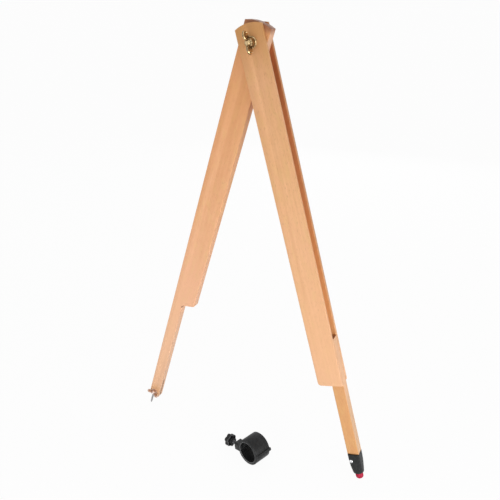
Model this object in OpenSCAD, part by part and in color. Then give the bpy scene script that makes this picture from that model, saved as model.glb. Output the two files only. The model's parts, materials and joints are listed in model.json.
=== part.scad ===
// Chalkboard compass: two wooden legs that fold on a wing nut pivot, one with a steel
// needle and one with a chalk holder, and a loose clamp that holds a marker instead.
// The origin is the pivot, X runs across, Y runs through the boards to the back and Z is up.

/* [Legs] */
// Width of each leg
leg_width = 35; // [31:0.5:42]
// Thickness of each cheek board of the chalk leg
cheek_thick = 4.5; // [3.5:0.25:7]
// Thickness of the core between the cheeks
core_thick = 13; // [10:0.25:15]
// Clearance on each face of the needle leg between the cheeks
leaf_clearance = 0.1; // [0.05:0.05:0.3]
// Gap between the two narrow feet when the legs are folded together
foot_gap = 1.2; // [0.2:0.1:2]
// Distance from the pivot to the lower end of the cheeks
cheek_reach = 452; // [425:1:480]
// Radius of the inner lower corner of the cheeks
cheek_corner = 5; // [2:0.5:8]
// Distance from the pivot to the outer corner of the needle leg's shoulder
shoulder_reach = 381.5; // [340:0.5:400]
// Angle of the slanted cut under the shoulder
shoulder_slant = 24; // [15:1:35]
// Clearance between the shoulder and the top of the core when folded
shoulder_clearance = 1.5; // [1:0.25:4]
// Distance from the pivot to the end of the chalk
tip_reach = 610; // [605:1:625]
// Angle between the legs as they stand
opening_angle = 32.6; // [20:0.1:50]
// Distance from the pivot to the crown of the cheeks
head_rise = 21; // [18:0.5:26]
// Distance from the pivot to the crown of the needle leg
needle_head_rise = 23; // [18:0.5:26]
// Radius of the crown of the cheeks
head_radius = 42; // [32:1:80]
// Radius of the crown of the needle leg
needle_head_radius = 52; // [32:1:80]
// Radius of the softened long edges
edge_radius = 1; // [0.5:0.1:1.5]

/* [Pivot] */
// Diameter of the pivot bolt
pivot_bolt_d = 6; // [5:0.5:8]
// Radial clearance of the needle leg on the pivot bolt
pivot_clearance = 0.05; // [0.02:0.01:0.09]
// Diameter of the domed head of the pivot bolt
pivot_head_d = 15; // [13:0.5:18]
// Height of the domed head of the pivot bolt
pivot_head_h = 3.4; // [2.5:0.1:5]
// Outer diameter of the pivot washer
pivot_washer_d = 14; // [13:0.5:18]
// Thickness of the pivot washer
pivot_washer_t = 1.2; // [0.8:0.1:2]
// Tip to tip span of the pivot wing nut
pivot_nut_span = 27; // [25:0.5:34]
// Height of the pivot wing nut
pivot_nut_h = 15; // [11:0.5:18]
// Angle of the wings of the pivot wing nut from level
pivot_nut_turn = 110; // [0:1:180]
// Length of bolt that stands out of the pivot wing nut
pivot_bolt_tail = 2.5; // [1:0.5:5]

/* [Needle] */
// Diameter of the steel needle
needle_d = 3; // [2:0.25:3.5]
// Length of the needle's point
needle_point = 5; // [4:0.5:12]
// Length of needle that stands out of the wood
needle_out = 26.2; // [15:0.1:45]
// Length of needle held in the wood
needle_grip = 30; // [20:1:40]
// Spare depth of the needle's hole above the needle
needle_spare = 24; // [22:1:32]
// Distance of the needle from the outer edge of its foot
needle_inset = 4.5; // [3.5:0.1:5]
// Width of the saw cut that lets the foot grip the needle
split_width = 1.6; // [0.8:0.1:2]
// Depth of the saw cut
split_depth = 36; // [30:1:60]
// Diameter of the bolt that closes the saw cut
pinch_bolt_d = 4; // [3:0.5:4.5]
// Distance of the pinch bolt from the outer edge of its foot
pinch_inset = 8.8; // [8.7:0.1:10]
// Distance of the pinch bolt from the end of the foot
pinch_rise = 8.5; // [6:0.5:14]
// Diameter of the head of the pinch bolt
pinch_head_d = 8; // [7:0.5:10]
// Height of the head of the pinch bolt
pinch_head_h = 2.6; // [2:0.1:4]
// Outer diameter of the pinch washer
pinch_washer_d = 9; // [8:0.5:11]
// Thickness of the pinch washer
pinch_washer_t = 0.8; // [0.5:0.1:1.5]
// Tip to tip span of the pinch wing nut
pinch_nut_span = 20; // [17:0.5:22]
// Height of the pinch wing nut
pinch_nut_h = 8.5; // [7.5:0.5:11]
// Angle of the wings of the pinch wing nut across the foot
pinch_nut_turn = 168; // [0:1:180]
// Length of bolt that stands out of the pinch wing nut
pinch_bolt_tail = 1.6; // [1.5:0.1:3]

/* [Chalk holder] */
// Length of chalk that stands out of the holder
chalk_out = 10.5; // [6:0.5:14]
// Length of the chalk holder
holder_length = 33.5; // [30:0.5:42]
// Wall of the holder in front of and behind the wood
holder_face_wall = 2; // [1.5:0.1:3]
// Wall of the holder on each side of the tenon
holder_side_wall = 2.1; // [1.6:0.1:3]
// Radius of the holder's long corners
holder_corner = 2.5; // [1.5:0.1:3.5]
// Length of the tenon in the holder
tenon_length = 17; // [16:0.5:20]
// Clearance of the tenon in its socket
tenon_clearance = 0.1; // [0.05:0.05:0.2]
// Diameter of the chalk
chalk_d = 11; // [9:0.5:11.5]
// Radial clearance of the chalk in its bore
chalk_clearance = 0.05; // [0.02:0.01:0.09]
// Radius of the worn edge of the chalk
chalk_round = 3; // [1:0.1:4]
// Wall of the holder at its nose
nose_wall = 2.2; // [1.2:0.1:2.6]
// Distance of the holder's screw below the rim
holder_screw_drop = 10.5; // [8:0.5:13]
// Distance of the holder's screw from the inner edge of the foot
holder_screw_inset = 4.2; // [4.2:0.1:8]
// Diameter of the holder's screw
holder_screw_d = 3; // [2.5:0.1:3.4]
// Diameter of the head of the holder's screw
holder_screw_head_d = 5.4; // [4.5:0.1:6.5]
// Height of the head of the holder's screw
holder_screw_head_h = 1.6; // [1.2:0.1:2.4]
// Length of the holder's screw in the wood
holder_screw_bite = 6; // [4:0.5:7.5]

/* [Marker clamp] */
// Bore of the clamp ring
ring_bore = 31; // [28:0.5:36]
// Wall of the clamp ring
ring_wall = 4; // [3.5:0.25:6]
// Depth of the clamp ring along its axis
ring_depth = 28; // [24:1:34]
// Chamfer on the outer rims of the clamp ring
ring_chamfer = 1; // [0.4:0.1:1.6]
// Height of the ridge on the far side of the ring
ridge_height = 2.5; // [1:0.25:4]
// Width of the ridge
ridge_width = 4; // [3:0.5:8]
// Length of the screw boss along the ring's axis
boss_length = 14; // [13:0.5:18]
// Width of the screw boss across the ring
boss_width = 12.5; // [12:0.5:16]
// Distance that the boss stands out of the ring
boss_rise = 8; // [7:0.5:14]
// Radius of the boss's corners
boss_corner = 2.5; // [1:0.1:4]
// Diameter of the clamp screw
clamp_screw_d = 5; // [4:0.5:6]
// Travel of the clamp screw
clamp_travel = 10; // [8:0.5:16]
// Radial clearance of the clamp screw in its insert
thread_clearance = 0.05; // [0.02:0.01:0.09]
// Outer diameter of the threaded insert
insert_d = 8; // [7.5:0.1:9]
// Length of the threaded insert
insert_length = 7; // [5:0.5:8]
// Diameter of the pressure pad
pad_d = 10; // [9:0.5:11]
// Thickness of the pressure pad
pad_thick = 2.8; // [2.4:0.1:3.2]
// Clearance of the pressure pad in its recess
pad_clearance = 0.3; // [0.2:0.05:0.5]
// Tip to tip diameter of the star knob
knob_d = 19; // [17:0.5:26]
// Thickness of the star knob
knob_thick = 7.5; // [6:0.5:12]
// Number of lobes on the star knob
knob_lobes = 6; // [5:1:8]
// Radius of each lobe
lobe_radius = 2.7; // [2:0.1:3]
// Length of the knob's neck
knob_neck = 3; // [2:0.5:6]
// Distance of the loose clamp to the right of the pivot
clamp_x = 27; // [10:0.5:60]
// Distance of the loose clamp in front of the pivot
clamp_y = -36.5; // [-90:0.5:-36.5]
// Turn of the loose clamp on the floor
clamp_turn = -20; // [-20:1:0]

/* [Hidden] */
$fn = 64;

// Colours of the materials
beech = "#d8a068";
pale_beech = "#e0ac78";
brass_gold = "#b8995a";
bright_steel = "#c8c8cc";
black_plastic = "#26282b";
chalk_red = "#c4283e";

// Small overlaps for cuts, and the play of pieces that are fixed together
cut = 1;
seat_play = 0.05;

// The standing pose
half_angle = opening_angle / 2;
foot_width = (leg_width - foot_gap) / 2;
foot_mid = (leg_width - foot_width) / 2;
leaf_thick = core_thick - 2 * leaf_clearance;
front_face = -core_thick / 2 - cheek_thick;
rear_face = core_thick / 2 + cheek_thick;

// The chalk's worn edge stands on the floor, and the needle reaches down to the same floor
chalk_r = chalk_d / 2;
chalk_edge_drop = (tip_reach - chalk_round) * cos(half_angle) + (chalk_r - chalk_round) * sin(half_angle);
floor_drop = chalk_edge_drop + chalk_round - foot_mid * sin(half_angle);
needle_x = -leg_width / 2 + needle_inset;
needle_reach = (floor_drop - needle_x * sin(half_angle)) / cos(half_angle);
needle_foot_reach = needle_reach - needle_out;
pinch_x = -leg_width / 2 + pinch_inset;
pinch_z = -needle_foot_reach + pinch_rise;

// Wing nuts grow with their bolts
pivot_hub_d = 1.85 * pivot_bolt_d;
pivot_hub_h = 1.15 * pivot_bolt_d;
pinch_hub_d = 1.9 * pinch_bolt_d;
pinch_hub_h = 1.15 * pinch_bolt_d;

// Chalk holder
holder_end = tip_reach - chalk_out;
holder_reach = holder_end - holder_length;
holder_depth = core_thick + 2 * holder_face_wall;
tenon_width = foot_width - 2 * holder_side_wall - 2 * tenon_clearance;
tenon_end = holder_reach + tenon_length;
chalk_bore_r = chalk_r + chalk_clearance;
chalk_bore_top = tenon_end + 1;
chalk_top = chalk_bore_top + 1;
nose_r = chalk_bore_r + nose_wall;
nose_bevel = nose_wall * 0.4;
shoulder_r = norm([foot_width / 2, holder_depth / 2]);

// Marker clamp, measured from the ring's axis out along the screw
ring_bore_r = ring_bore / 2;
ring_r = ring_bore_r + ring_wall;
boss_reach = ring_r + boss_rise;
screw_y = -(ring_depth - boss_length) / 2;
pad_face = ring_bore_r + 0.15;
pad_back = pad_face + pad_thick;
nipple_d = clamp_screw_d * 2 / 3;
nipple_length = pad_thick * 0.6;
knob_start = boss_reach + clamp_travel + 1;
knob_end = knob_start + knob_neck + knob_thick;
knob_r = knob_d / 2;
knob_hub_r = clamp_screw_d / 2 + 2.5;
knob_grip = knob_neck + knob_thick * 0.6;
// The ring lies on the floor and tips about its axis until the knob touches the floor too
clamp_dip = asin(ring_r / norm([knob_end, knob_r])) - atan2(knob_r, knob_end);

// Places children on the standing chalk leg or needle leg, with the leg hanging down -Z
module on_chalk_leg() { rotate([0, -half_angle, 0]) children(); }
module on_needle_leg() { rotate([0, half_angle, 0]) children(); }

// Places children on the loose clamp, with the ring along Y and the screw along -X
module on_loose_clamp() {
    translate([clamp_x, clamp_y, ring_r - floor_drop])
        rotate([0, 0, clamp_turn])
            rotate([0, -clamp_dip, 0])
                children();
}

// Places children on the clamp's screw axis, with Z pointing out to the knob
module on_clamp_screw() { translate([0, screw_y, 0]) rotate([0, -90, 0]) children(); }

// Turns a flat outline into a board of this thickness, standing in the XZ plane
module board(thick) { rotate([90, 0, 0]) linear_extrude(thick, center = true) children(); }

// A round rod along Y
module cross_rod(r, length) { rotate([90, 0, 0]) cylinder(r = r, h = length, center = true); }

// A rectangle with rounded corners
module soft_rectangle(width, height, r) {
    square([width - 2 * r, height], center = true);
    square([width, height - 2 * r], center = true);
    for (x = [-1, 1], y = [-1, 1])
        translate([x * (width / 2 - r), y * (height / 2 - r)]) circle(r = r);
}

// A long bar with softened edges, from top down to bottom
module soft_bar(width, thick, top, bottom) {
    translate([0, 0, bottom]) linear_extrude(top - bottom) soft_rectangle(width, thick, edge_radius);
}

// Flat outline of a leg board with a crowned head of this rise and radius, down to its reach
module crowned_outline(rise, radius, reach) {
    intersection() {
        translate([-leg_width / 2, -reach]) square([leg_width, reach + rise]);
        union() {
            translate([0, rise - radius]) circle(r = radius, $fn = 128);
            translate([-leg_width / 2, -reach]) square([leg_width, reach]);
        }
    }
}

// One cheek board with a round inner corner at its lower end
module cheek_board() {
    intersection() {
        board(cheek_thick) difference() {
            crowned_outline(head_rise, head_radius, cheek_reach);
            translate([-leg_width / 2, -cheek_reach]) difference() {
                translate([-cut, -cut]) square(cheek_corner + cut);
                translate([cheek_corner, cheek_corner]) circle(r = cheek_corner);
            }
        }
        soft_bar(leg_width, cheek_thick, head_rise + cut, -cheek_reach - cut);
    }
}

module front_cheek() {
    color(beech) on_chalk_leg() translate([0, front_face + cheek_thick / 2, 0]) difference() {
        cheek_board();
        cross_rod(pivot_bolt_d / 2 + pivot_clearance, cheek_thick + cut);
    }
}

module rear_cheek() {
    color(beech) on_chalk_leg() translate([0, rear_face - cheek_thick / 2, 0]) difference() {
        cheek_board();
        cube([pivot_bolt_d + 2 * seat_play, cheek_thick + cut, pivot_bolt_d + 2 * seat_play], center = true);
    }
}

// Flat outline of the core: a top that follows the folded shoulder, and a tenon at the foot
module core_outline() {
    inner = leg_width / 2 - foot_width;
    outer = leg_width / 2;
    top = -shoulder_reach - shoulder_clearance;
    polygon([
        [inner, top - foot_width * tan(shoulder_slant)],
        [outer, top],
        [outer, -holder_reach],
        [foot_mid + tenon_width / 2, -holder_reach],
        [foot_mid + tenon_width / 2, -tenon_end],
        [foot_mid - tenon_width / 2, -tenon_end],
        [foot_mid - tenon_width / 2, -holder_reach],
        [inner, -holder_reach]
    ]);
}

module chalk_leg_core() {
    color(pale_beech) on_chalk_leg() difference() {
        intersection() {
            board(core_thick) core_outline();
            translate([foot_mid, 0, 0]) soft_bar(foot_width, core_thick, -shoulder_reach + leg_width, -tenon_end - cut);
        }
        on_holder_screw() translate([0, 0, -holder_face_wall - holder_screw_bite - cut])
            cylinder(d = holder_screw_d + 2 * seat_play, h = holder_face_wall + holder_screw_bite + cut);
    }
}

// The needle leg's board: full width to the slanted shoulder, then half width to the foot
module needle_leg_board() {
    low = shoulder_reach + leg_width * tan(shoulder_slant);
    intersection() {
        board(leaf_thick) difference() {
            crowned_outline(needle_head_rise, needle_head_radius, low);
            polygon([
                [-leg_width / 2, -low],
                [leg_width / 2, -shoulder_reach],
                [leg_width / 2 + cut, -shoulder_reach],
                [leg_width / 2 + cut, -low - cut],
                [-leg_width / 2, -low - cut]
            ]);
        }
        soft_bar(leg_width, leaf_thick, needle_head_rise + cut, -low - cut);
    }
    translate([-foot_mid, 0, 0])
        soft_bar(foot_width, leaf_thick, -shoulder_reach + leg_width, -needle_foot_reach);
}

module needle_leg() {
    color(beech) on_needle_leg() difference() {
        needle_leg_board();
        cross_rod(pivot_bolt_d / 2 + pivot_clearance, core_thick + cut);
        translate([needle_x, 0, -needle_foot_reach - cut])
            cylinder(d = needle_d + 2 * pivot_clearance, h = needle_grip + needle_spare + cut);
        translate([-leg_width / 2 - cut, -split_width / 2, -needle_foot_reach - cut])
            cube([foot_width + 2 * cut, split_width, split_depth + cut]);
        translate([pinch_x, 0, pinch_z]) cross_rod(pinch_bolt_d / 2 + seat_play, core_thick + cut);
    }
}

// A bolt along Z with a domed head below z = 0 and a bevelled end
module bolt_shank(d, length) {
    bevel = d / 8;
    rotate_extrude() polygon([
        [0, 0], [d / 2, 0], [d / 2, length - bevel], [d / 2 - bevel, length], [0, length]
    ]);
}

module domed_head(d, h) {
    dome_r = (d * d / 4 + h * h) / (2 * h);
    intersection() {
        translate([0, 0, dome_r - h]) sphere(r = dome_r, $fn = 128);
        translate([0, 0, -h]) cylinder(d = d, h = h);
    }
}

module pivot_bolt() {
    stack = pivot_washer_t + pivot_hub_h + pivot_bolt_tail;
    color(brass_gold) rotate([0, -half_angle, 0]) translate([0, rear_face, 0]) rotate([90, 0, 0]) {
        domed_head(pivot_head_d, pivot_head_h);
        bolt_shank(pivot_bolt_d, rear_face - front_face + stack);
        translate([0, 0, cheek_thick / 2]) cube([pivot_bolt_d, pivot_bolt_d, cheek_thick], center = true);
    }
}

module plain_washer(outer, bore, thick) {
    difference() {
        cylinder(d = outer, h = thick);
        translate([0, 0, -cut]) cylinder(d = bore, h = thick + 2 * cut);
    }
}

// Point where a line from p touches a circle, on the side given by 1 or -1
function touch_point(p, c, r, side) =
    let (gap = p - c)
    let (turn = atan2(gap.y, gap.x) + side * acos(r / norm(gap)))
    c + r * [cos(turn), sin(turn)];

// Flat outline of one wing: a round ear joined to the hub by a tapering web
module wing_outline(hub_d, hub_h, span, height) {
    ear_r = height * 0.37;
    ear = [span / 2 - ear_r, height - ear_r];
    root_low = [hub_d * 0.4, hub_h * 0.12];
    root_high = [hub_d * 0.25, hub_h * 0.92];
    translate(ear) circle(r = ear_r);
    polygon([root_low, touch_point(root_low, ear, ear_r, 1), ear, touch_point(root_high, ear, ear_r, -1), root_high]);
}

// A wing nut on its base at z = 0, with its wings along X
module wing_nut(bolt_d, hub_d, hub_h, span, height) {
    wing_thick = bolt_d * 0.4;
    difference() {
        union() {
            rotate_extrude() polygon([
                [0, 0], [hub_d / 2, 0], [hub_d / 2, hub_h * 0.25], [hub_d * 0.4, hub_h], [0, hub_h]
            ]);
            for (side = [0, 180])
                rotate([0, 0, side]) rotate([90, 0, 0])
                    linear_extrude(wing_thick, center = true) wing_outline(hub_d, hub_h, span, height);
        }
        translate([0, 0, -cut]) cylinder(d = bolt_d + 2 * thread_clearance, h = height + 2 * cut);
    }
}

module pivot_washer() {
    color(bright_steel) translate([0, front_face, 0]) rotate([90, 0, 0])
        plain_washer(pivot_washer_d, pivot_bolt_d * 1.07, pivot_washer_t);
}

module pivot_wing_nut() {
    color(brass_gold) translate([0, front_face - pivot_washer_t, 0]) rotate([90, 0, 0])
        rotate([0, 0, pivot_nut_turn])
            wing_nut(pivot_bolt_d, pivot_hub_d, pivot_hub_h, pivot_nut_span, pivot_nut_h);
}

module needle() {
    top = -needle_foot_reach + needle_grip;
    color(bright_steel) on_needle_leg() translate([needle_x, 0, 0]) rotate_extrude() polygon([
        [0, top], [needle_d / 2, top], [needle_d / 2, needle_point - needle_reach],
        [needle_d / 30, -needle_reach], [0, -needle_reach]
    ]);
}

// Places children on the pinch bolt's axis, at a face of the needle leg, with Z to the front
module on_pinch_bolt(face) {
    on_needle_leg() translate([pinch_x, face * leaf_thick / 2, pinch_z]) rotate([90, 0, 0]) children();
}

module pinch_bolt() {
    stack = pinch_washer_t + pinch_hub_h + pinch_bolt_tail;
    color(bright_steel) on_pinch_bolt(1) {
        domed_head(pinch_head_d, pinch_head_h);
        bolt_shank(pinch_bolt_d, leaf_thick + stack);
    }
}

module pinch_washer() {
    color(bright_steel) on_pinch_bolt(-1) plain_washer(pinch_washer_d, pinch_bolt_d * 1.08, pinch_washer_t);
}

module pinch_wing_nut() {
    color(brass_gold) on_pinch_bolt(-1) translate([0, 0, pinch_washer_t]) rotate([0, 0, pinch_nut_turn])
        wing_nut(pinch_bolt_d, pinch_hub_d, pinch_hub_h, pinch_nut_span, pinch_nut_h);
}

// Places children on the holder's screw, with Z out of the holder's front face
module on_holder_screw() {
    translate([leg_width / 2 - foot_width + holder_screw_inset, -holder_depth / 2, -holder_reach - holder_screw_drop])
        rotate([90, 0, 0]) children();
}

// The holder's outside: a rounded block turned down to a round nose
module holder_body() {
    translate([foot_mid, 0, -holder_end]) intersection() {
        linear_extrude(holder_length) soft_rectangle(foot_width, holder_depth, holder_corner);
        rotate_extrude() polygon([
            [0, 0], [nose_r - nose_bevel, 0], [nose_r, nose_bevel],
            [foot_width / 2, holder_length * 0.5], [shoulder_r, holder_length * 0.8],
            [shoulder_r, holder_length], [0, holder_length]
        ]);
    }
}

module chalk_holder() {
    socket_width = tenon_width + 2 * tenon_clearance;
    socket_depth = core_thick + 2 * tenon_clearance;
    color(black_plastic) on_chalk_leg() difference() {
        holder_body();
        translate([foot_mid - socket_width / 2, -socket_depth / 2, -tenon_end - tenon_clearance])
            cube([socket_width, socket_depth, tenon_length + tenon_clearance + cut]);
        translate([foot_mid, 0, -holder_end - cut]) cylinder(r = chalk_bore_r, h = holder_end - chalk_bore_top + cut);
        on_holder_screw() translate([0, 0, -holder_face_wall - cut])
            cylinder(d = holder_screw_d + 2 * seat_play, h = holder_face_wall + 2 * cut);
    }
}

module holder_screw() {
    color(bright_steel) on_chalk_leg() on_holder_screw() {
        rotate([180, 0, 0]) domed_head(holder_screw_head_d, holder_screw_head_h);
        rotate([180, 0, 0]) bolt_shank(holder_screw_d, holder_face_wall + holder_screw_bite);
    }
}

module chalk() {
    flat_r = chalk_r - chalk_round;
    color(chalk_red) on_chalk_leg() translate([foot_mid, 0, 0]) {
        translate([0, 0, -tip_reach + chalk_round]) cylinder(r = chalk_r, h = tip_reach - chalk_round - chalk_top);
        translate([0, 0, -tip_reach]) cylinder(r = flat_r, h = tip_reach - chalk_top);
        translate([0, 0, -tip_reach + chalk_round]) rotate_extrude() translate([flat_r, 0]) intersection() {
            circle(r = chalk_round);
            translate([0, -chalk_round]) square([chalk_round, 2 * chalk_round]);
        }
    }
}

// The ring's wall, with its outer rims chamfered
module ring_wall_solid() {
    half = ring_depth / 2;
    rotate([90, 0, 0]) rotate_extrude($fn = 128) polygon([
        [ring_bore_r, -half], [ring_r - ring_chamfer, -half], [ring_r, -half + ring_chamfer],
        [ring_r, half - ring_chamfer], [ring_r - ring_chamfer, half], [ring_bore_r, half]
    ]);
}

module clamp_ring() {
    bury = ring_wall / 2;
    color(black_plastic) on_loose_clamp() difference() {
        union() {
            ring_wall_solid();
            difference() {
                on_clamp_screw() linear_extrude(boss_reach) soft_rectangle(boss_width, boss_length, boss_corner);
                cross_rod(ring_r - bury, ring_depth + cut);
            }
            translate([ring_r - bury, -ring_depth / 2, -ridge_width / 2])
                cube([ridge_height + bury, ring_depth, ridge_width]);
        }
        on_clamp_screw() cylinder(d = clamp_screw_d + 2, h = boss_reach + cut);
        on_clamp_screw() cylinder(d = pad_d + 2 * pad_clearance, h = pad_back + pad_clearance);
        on_clamp_screw() translate([0, 0, boss_reach - insert_length])
            cylinder(d = insert_d + 2 * seat_play, h = insert_length + cut);
    }
}

module clamp_insert() {
    color(brass_gold) on_loose_clamp() on_clamp_screw() translate([0, 0, boss_reach - insert_length])
        plain_washer(insert_d, clamp_screw_d + 2 * thread_clearance, insert_length);
}

module clamp_screw() {
    nipple_start = pad_back - nipple_length + pad_clearance;
    color(bright_steel) on_loose_clamp() on_clamp_screw() {
        translate([0, 0, nipple_start]) cylinder(d = nipple_d, h = nipple_length);
        translate([0, 0, pad_back + pad_clearance])
            cylinder(d = clamp_screw_d, h = knob_start + knob_grip - pad_back - pad_clearance);
    }
}

// Flat outline of the star knob
module star_outline() {
    lobe_centre = knob_r - lobe_radius;
    circle(r = lobe_centre + lobe_radius * 0.15);
    for (i = [0 : knob_lobes - 1])
        rotate(i * 360 / knob_lobes) translate([lobe_centre, 0]) circle(r = lobe_radius);
}

module clamp_knob() {
    pocket_r = knob_r - 2 * lobe_radius + 1.5;
    pocket_depth = knob_thick * 0.45;
    color(black_plastic) on_loose_clamp() on_clamp_screw() translate([0, 0, knob_start]) difference() {
        union() {
            difference() {
                translate([0, 0, knob_neck]) linear_extrude(knob_thick) star_outline();
                translate([0, 0, knob_neck - cut]) cylinder(r = pocket_r, h = pocket_depth + cut);
            }
            cylinder(r = knob_hub_r, h = knob_neck + pocket_depth + cut);
        }
        translate([0, 0, -cut]) cylinder(d = clamp_screw_d + 2 * seat_play, h = knob_grip + cut + seat_play);
    }
}

module clamp_pad() {
    color(black_plastic) on_loose_clamp() on_clamp_screw() translate([0, 0, pad_face]) difference() {
        cylinder(d = pad_d, h = pad_thick);
        translate([0, 0, pad_thick - nipple_length])
            cylinder(d = nipple_d + 2 * thread_clearance, h = nipple_length + cut);
    }
}

front_cheek();
rear_cheek();
chalk_leg_core();
needle_leg();
pivot_bolt();
pivot_washer();
pivot_wing_nut();
needle();
pinch_bolt();
pinch_washer();
pinch_wing_nut();
chalk_holder();
holder_screw();
chalk();
clamp_ring();
clamp_insert();
clamp_screw();
clamp_knob();
clamp_pad();
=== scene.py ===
import json
import math

import bmesh
import bpy
from mathutils import Matrix, Vector, noise


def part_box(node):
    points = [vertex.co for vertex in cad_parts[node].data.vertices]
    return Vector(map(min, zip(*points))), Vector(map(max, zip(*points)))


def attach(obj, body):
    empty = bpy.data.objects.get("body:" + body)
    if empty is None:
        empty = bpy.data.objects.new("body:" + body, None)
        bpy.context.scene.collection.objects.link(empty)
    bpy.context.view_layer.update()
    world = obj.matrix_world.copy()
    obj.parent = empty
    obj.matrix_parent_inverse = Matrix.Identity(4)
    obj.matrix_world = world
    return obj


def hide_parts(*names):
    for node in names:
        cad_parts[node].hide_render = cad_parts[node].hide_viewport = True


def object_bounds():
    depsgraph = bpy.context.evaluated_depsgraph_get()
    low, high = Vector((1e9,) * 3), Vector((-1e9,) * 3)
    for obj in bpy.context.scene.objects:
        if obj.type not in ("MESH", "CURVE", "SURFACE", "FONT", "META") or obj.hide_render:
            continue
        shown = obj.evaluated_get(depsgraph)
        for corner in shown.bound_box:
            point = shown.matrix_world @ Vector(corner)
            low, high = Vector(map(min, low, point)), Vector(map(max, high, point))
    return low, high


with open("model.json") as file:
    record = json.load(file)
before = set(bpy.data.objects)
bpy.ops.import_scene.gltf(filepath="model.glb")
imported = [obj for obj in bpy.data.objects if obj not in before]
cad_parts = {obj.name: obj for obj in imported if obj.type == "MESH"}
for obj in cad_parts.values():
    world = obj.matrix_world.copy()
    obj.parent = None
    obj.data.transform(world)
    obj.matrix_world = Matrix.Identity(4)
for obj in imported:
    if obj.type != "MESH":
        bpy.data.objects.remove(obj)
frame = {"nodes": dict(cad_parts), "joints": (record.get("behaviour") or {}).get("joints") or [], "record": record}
cad_low, cad_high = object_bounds()
scene = bpy.context.scene
nodes = frame["nodes"]
joints = {joint["name"]: joint for joint in frame["joints"]}
mounts = {mount["name"]: mount for mount in frame["record"]["mounts"]}
mm = 0.001

# Places that the frame gives
down_needle_leg = Vector(joints["needle_slide"]["axis"])
half_opening = math.asin(-down_needle_leg.x)
on_chalk_leg = Matrix.Rotation(-half_opening, 4, "Y")
on_needle_leg = Matrix.Rotation(half_opening, 4, "Y")
face_front = Matrix.Rotation(math.radians(90), 4, "X")
floor_level = cad_low[2]

# Sizes that the pieces share with the solids
pivot_bolt_d = 6 * mm
pivot_pitch = 1.0 * mm
pivot_head_d = 15 * mm
pivot_head_h = 3.4 * mm
pivot_nut_span = 27 * mm
pivot_nut_height = 15 * mm
pivot_hub_d = 1.85 * pivot_bolt_d
pinch_bolt_d = 4 * mm
pinch_pitch = 0.7 * mm
pinch_head_d = 8 * mm
pinch_head_h = 2.6 * mm
pinch_nut_span = 20 * mm
pinch_nut_height = 8.5 * mm
pinch_hub_d = 1.9 * pinch_bolt_d
clamp_screw_d = 5 * mm
clamp_pitch = 0.8 * mm
thread_play = 0.05 * mm
foot_width = 16.9 * mm
foot_mid = 9.05 * mm
core_thick = 13 * mm
holder_length = 33.5 * mm
holder_end = 599.5 * mm
holder_depth = 17 * mm
nose_r = 7.75 * mm
chalk_d = 11 * mm
chalk_tip = 610 * mm
chalk_top = 585 * mm
chalk_worn = 3 * mm
needle_d = 3 * mm
needle_point = 5 * mm
needle_length = 56.2 * mm


def box_middle(node):
    """The middle of a CAD node's box."""
    low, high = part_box(node)
    return (low + high) / 2


# Shader groups

def new_surface_group(name, colours, values=()):
    """An empty group that takes coordinates, colours and values, and gives a surface."""
    group = bpy.data.node_groups.new(name, "ShaderNodeTree")
    sockets = [("INPUT", "NodeSocketVector", ("Coordinates",)), ("INPUT", "NodeSocketColor", colours),
               ("INPUT", "NodeSocketFloat", values), ("OUTPUT", "NodeSocketColor", ("Color",)),
               ("OUTPUT", "NodeSocketFloat", ("Roughness", "Height"))]
    for side, kind, names in sockets:
        for socket_name in names:
            group.interface.new_socket(socket_name, in_out=side, socket_type=kind)
    given = group.nodes.new("NodeGroupInput").outputs
    out = group.nodes.new("NodeGroupOutput").inputs
    return group, given, out


def fill_socket(tree, socket, value):
    """Sets a socket to a plain value, or links it to another socket."""
    if isinstance(value, (int, float, tuple)):
        socket.default_value = value
    else:
        tree.links.new(value, socket)


def math_node(tree, operation, first, second=0.0):
    node = tree.nodes.new("ShaderNodeMath")
    node.operation = operation
    fill_socket(tree, node.inputs[0], first)
    fill_socket(tree, node.inputs[1], second)
    return node.outputs[0]


def plus(tree, first, second):
    return math_node(tree, "ADD", first, second)


def times(tree, first, second):
    return math_node(tree, "MULTIPLY", first, second)


def vector_node(tree, operation, first, second):
    node = tree.nodes.new("ShaderNodeVectorMath")
    node.operation = operation
    fill_socket(tree, node.inputs[0], first)
    fill_socket(tree, node.inputs[1], second)
    return node.outputs["Value" if operation in ("DISTANCE", "LENGTH") else "Vector"]


def split_xyz(tree, vector):
    node = tree.nodes.new("ShaderNodeSeparateXYZ")
    tree.links.new(vector, node.inputs[0])
    return node.outputs["X"], node.outputs["Y"], node.outputs["Z"]


def stretched_noise(tree, coordinates, cell, detail, distortion=0.0):
    """Noise whose cells have these sizes in metres along X, Y and Z."""
    texture = tree.nodes.new("ShaderNodeTexNoise")
    tree.links.new(vector_node(tree, "DIVIDE", coordinates, cell), texture.inputs["Vector"])
    texture.inputs["Scale"].default_value = 1.0
    texture.inputs["Detail"].default_value = detail
    texture.inputs["Distortion"].default_value = distortion
    return texture.outputs["Fac"]


def even_noise(tree, coordinates, size, detail):
    """Noise whose cells have one size in metres all ways."""
    return stretched_noise(tree, coordinates, (size, size, size), detail)


def spread(tree, value, low, high, to_low=0.0, to_high=1.0):
    """Maps low to high onto to_low to to_high, and holds the ends."""
    node = tree.nodes.new("ShaderNodeMapRange")
    tree.links.new(value, node.inputs["Value"])
    sockets = ("From Min", "From Max", "To Min", "To Max")
    for socket, number in zip(sockets, (low, high, to_low, to_high)):
        node.inputs[socket].default_value = number
    return node.outputs["Result"]


def fade(tree, value, start, end, share=1.0):
    """A share that grows from nothing at start to its full size at end."""
    return spread(tree, value, start, end, 0.0, share)


def mix_colour(tree, factor, first, second):
    node = tree.nodes.new("ShaderNodeMix")
    node.data_type = "RGBA"
    sockets = (node.inputs[0], node.inputs[6], node.inputs[7])
    for socket, value in zip(sockets, (factor, first, second)):
        fill_socket(tree, socket, value)
    return node.outputs[2]


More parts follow.
